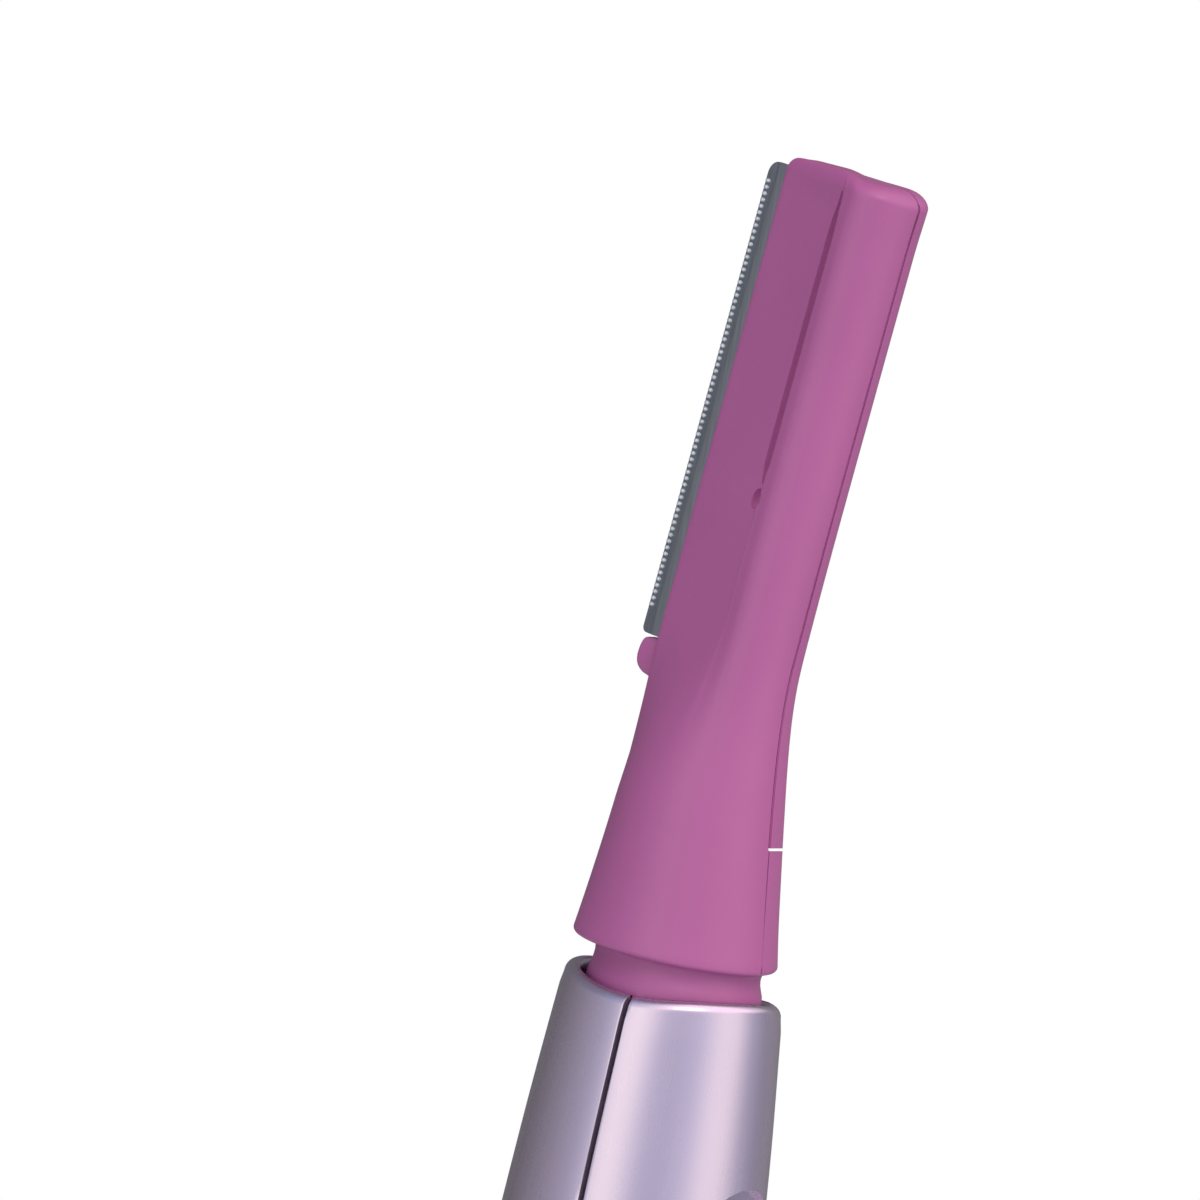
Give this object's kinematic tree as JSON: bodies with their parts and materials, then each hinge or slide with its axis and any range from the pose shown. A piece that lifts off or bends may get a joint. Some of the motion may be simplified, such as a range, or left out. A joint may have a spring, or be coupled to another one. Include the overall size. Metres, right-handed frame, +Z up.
{
  "type": "electric facial hair trimmer",
  "caption": "Slim battery facial trimmer: rounded metallic handle with slide switch, tilting plastic head and a long round-tipped side blade.",
  "frame": {"origin": "centre of the flat foot of the battery cover, on the handle's axis", "axes": "+Z up the handle's axis to the head; the blade faces -X, the slide switch +X; the head's pivot lies along Y"},
  "size_m": [0.018, 0.0178, 0.156],
  "materials": {
    "head_plastic": "satin",
    "handle_metallic": "satin metallic lacquer",
    "blade_steel": "satin",
    "bright_steel": "bright",
    "contact_brass": "bright",
    "black_rubber": "matte",
    "inner_plastic": "matte",
    "cell_wrap": "gloss",
    "board_green": "satin"
  },
  "bodies": {
    "handle": {"handle_front_shell": "handle_metallic", "handle_rear_shell": "handle_metallic", "inner_chassis": "inner_plastic", "head_pivot_pin_near": "bright_steel", "head_pivot_pin_far": "bright_steel", "centring_leaf": "bright_steel", "motor_can": "bright_steel", "motor_end_cap": "inner_plastic", "motor_terminal_near": "contact_brass", "motor_terminal_far": "contact_brass", "circuit_board": "board_green", "battery_cell": "cell_wrap", "positive_contact": "contact_brass", "switch_contact": "contact_brass", "negative_strip": "contact_brass", "negative_spring": "bright_steel", "seal_ring": "black_rubber"},
    "rotor": {"motor_shaft": "bright_steel", "eccentric_cam": "inner_plastic"},
    "head": {"head_shell": "head_plastic", "head_cover": "head_plastic", "blade_carrier": "head_plastic", "fixed_blade": "blade_steel", "blade_rivet_lower": "bright_steel", "blade_rivet_upper": "bright_steel", "lever_pin": "bright_steel"},
    "lever": {"drive_lever": "inner_plastic"},
    "cutter": {"moving_blade": "bright_steel"},
    "switch": {"switch_slider": "head_plastic", "switch_wiper": "contact_brass"},
    "battery_door": {"battery_cover": "handle_metallic"}
  },
  "joints": [
    {"name": "motor_spin", "type": "hinge", "parent": "handle", "child": "rotor", "pos_m": [0, 0, 0.0977], "axis": [0, 0, 1], "continuous": true},
    {"name": "head_tilt", "type": "hinge", "parent": "handle", "child": "head", "pos_m": [0, 0, 0.101], "axis": [0, 1, 0], "range_deg": [-8, 8], "stiffness_Nm_per_rad": 0.03, "deforming": ["centring_leaf"]},
    {"name": "lever_swing", "type": "hinge", "parent": "head", "child": "lever", "pos_m": [0.001, 0, 0.1165], "axis": [0, 1, 0], "range_deg": [-4.4, 4.4]},
    {"name": "blade_stroke", "type": "slide", "parent": "head", "child": "cutter", "axis": [0.1093, 0, 0.994], "range_m": [-0.000309, 0.000309]},
    {"name": "switch_slide", "type": "slide", "parent": "handle", "child": "switch", "axis": [0, 0, 1], "range_m": [0, 0.0042]},
    {"name": "cover_slide", "type": "slide", "parent": "handle", "child": "battery_door", "axis": [0, 0, -1], "range_m": [0, 0.05]}
  ],
  "couplings": [
    {"joint": "lever_swing", "follows": "blade_stroke", "rad_per_m": 248.5}
  ]
}
